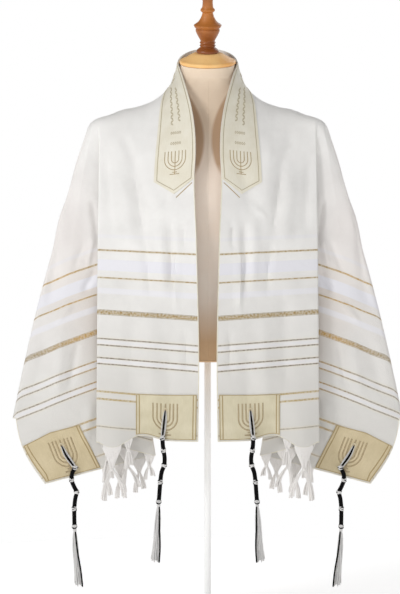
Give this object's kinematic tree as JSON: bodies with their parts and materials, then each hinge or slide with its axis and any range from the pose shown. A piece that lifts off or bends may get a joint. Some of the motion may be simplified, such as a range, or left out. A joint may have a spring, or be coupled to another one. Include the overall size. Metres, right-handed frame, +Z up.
{
  "type": "tallit prayer shawl on a limbless dress form and stand",
  "caption": "Striped fringed tallit with neckband, corner patches and knotted tassels, draped open over a limbless dress form with a turned wooden finial, on a pole stand.",
  "frame": {"origin": "centre of the base's underside, on the floor", "axes": "+Z up, -Y the shawl's open front, +X the shawl's right as seen from the front"},
  "size_m": [0.7976, 0.32, 1.3153],
  "materials": {
    "woven_cloth": "matt plain weave with satin stripes",
    "band_satin": "cream satin brocade",
    "patch_satin": "pale gold satin brocade",
    "tassel_yarn": "twisted yarn",
    "fringe_yarn": "twisted yarn",
    "form_linen": "smooth beige cover",
    "cap_wood": "satin varnish, honey",
    "finial_wood": "satin varnish, red brown",
    "stand_paint": "white powder coat"
  },
  "bodies": {
    "root": {"shawl_cloth": "woven_cloth", "atarah": "band_satin", "patch_inner_left": "patch_satin", "patch_outer_left": "patch_satin", "tzitzit_inner_left": "tassel_yarn", "tzitzit_outer_left": "tassel_yarn", "fringe_left": "fringe_yarn", "patch_inner_right": "patch_satin", "patch_outer_right": "patch_satin", "tzitzit_inner_right": "tassel_yarn", "tzitzit_outer_right": "tassel_yarn", "fringe_right": "fringe_yarn", "form_torso": "form_linen", "form_neck_cap": "cap_wood", "form_finial": "finial_wood", "stand_pole": "stand_paint", "stand_base": "stand_paint"}
  },
  "joints": []
}
